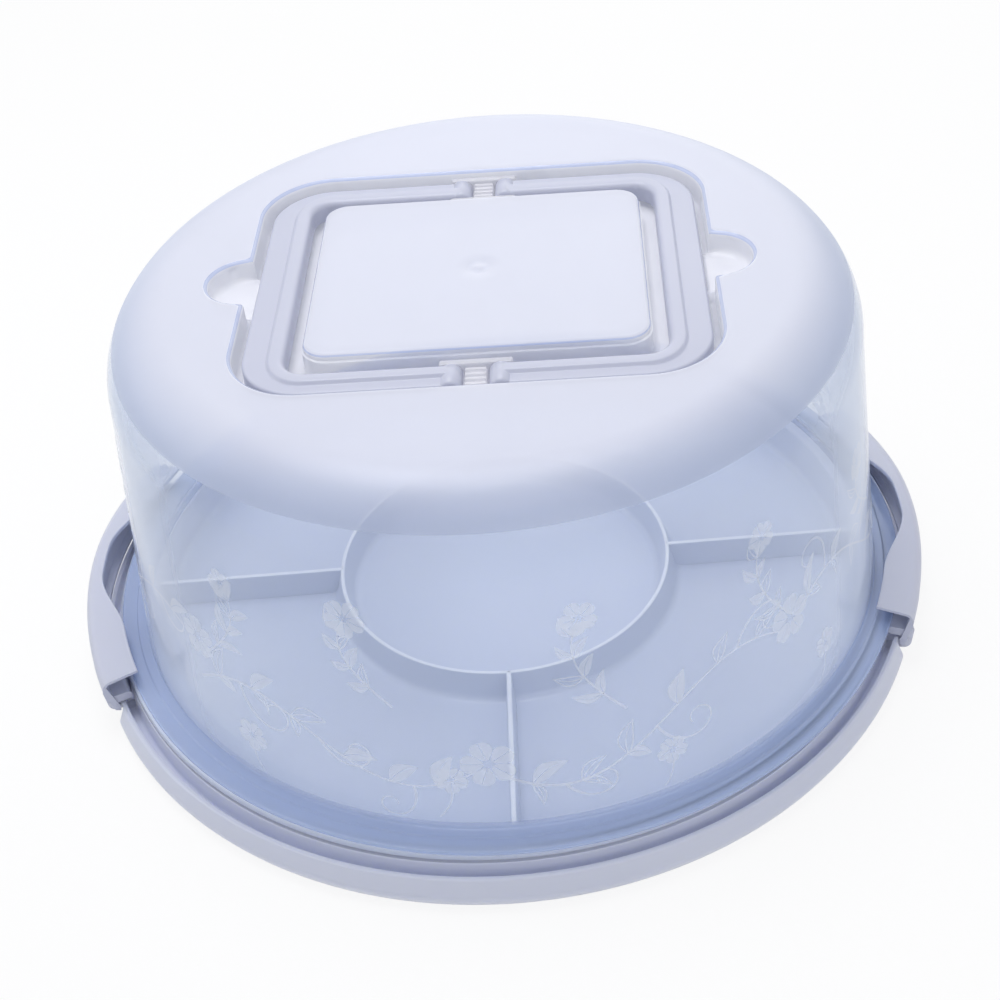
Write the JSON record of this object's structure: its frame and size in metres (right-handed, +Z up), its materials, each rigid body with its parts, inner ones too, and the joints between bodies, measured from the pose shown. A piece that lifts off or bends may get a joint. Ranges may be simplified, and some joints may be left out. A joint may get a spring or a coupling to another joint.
{
  "type": "cake carrier",
  "caption": "Round cake carrier: clear domed lid with fold-flat carrying handles, divided serving tray and base ring with swinging side latches.",
  "frame": {"origin": "centre of the face on which the base ring stands", "axes": "+Z up; +X through the right-hand latch; the picture is taken from the -Y side"},
  "size_m": [0.3144, 0.31, 0.1445],
  "materials": {
    "base_plastic": "satin, light grey with a lavender cast",
    "tray_plastic": "satin, pale blue",
    "lid_clear": "clear and glossy side wall, frosted crown",
    "handle_plastic": "satin, light grey with a lavender cast",
    "latch_plastic": "satin, light grey with a lavender cast"
  },
  "bodies": {
    "base": {"base_ring": "base_plastic", "serving_tray": "tray_plastic"},
    "lid": {"lid_shell": "lid_clear"},
    "left_handle": {"handle_left": "handle_plastic"},
    "right_handle": {"handle_right": "handle_plastic"},
    "left_latch": {"latch_left": "latch_plastic"},
    "right_latch": {"latch_right": "latch_plastic"}
  },
  "joints": [
    {"name": "lid_lift", "type": "slide", "parent": "base", "child": "lid", "axis": [0, 0, 1], "range_m": [0, 0.01]},
    {"name": "left_latch_hinge", "type": "hinge", "parent": "base", "child": "left_latch", "pos_m": [-0.143, 0, 0.008], "axis": [0, -1, 0], "range_deg": [0, 48]},
    {"name": "right_latch_hinge", "type": "hinge", "parent": "base", "child": "right_latch", "pos_m": [0.143, 0, 0.008], "axis": [0, 1, 0], "range_deg": [0, 48]},
    {"name": "left_handle_hinge", "type": "hinge", "parent": "lid", "child": "left_handle", "pos_m": [-0.006, 0.00028, 0.139], "axis": [0.0349, 0.9994, 0], "range_deg": [0, 88]},
    {"name": "right_handle_hinge", "type": "hinge", "parent": "lid", "child": "right_handle", "pos_m": [0.01, -0.00028, 0.139], "axis": [-0.0349, -0.9994, 0], "range_deg": [0, 88]}
  ],
  "couplings": [
    {"joint": "left_latch_hinge", "follows": "lid_lift", "rad_per_m": 83.77},
    {"joint": "right_latch_hinge", "follows": "lid_lift", "rad_per_m": 83.77}
  ]
}
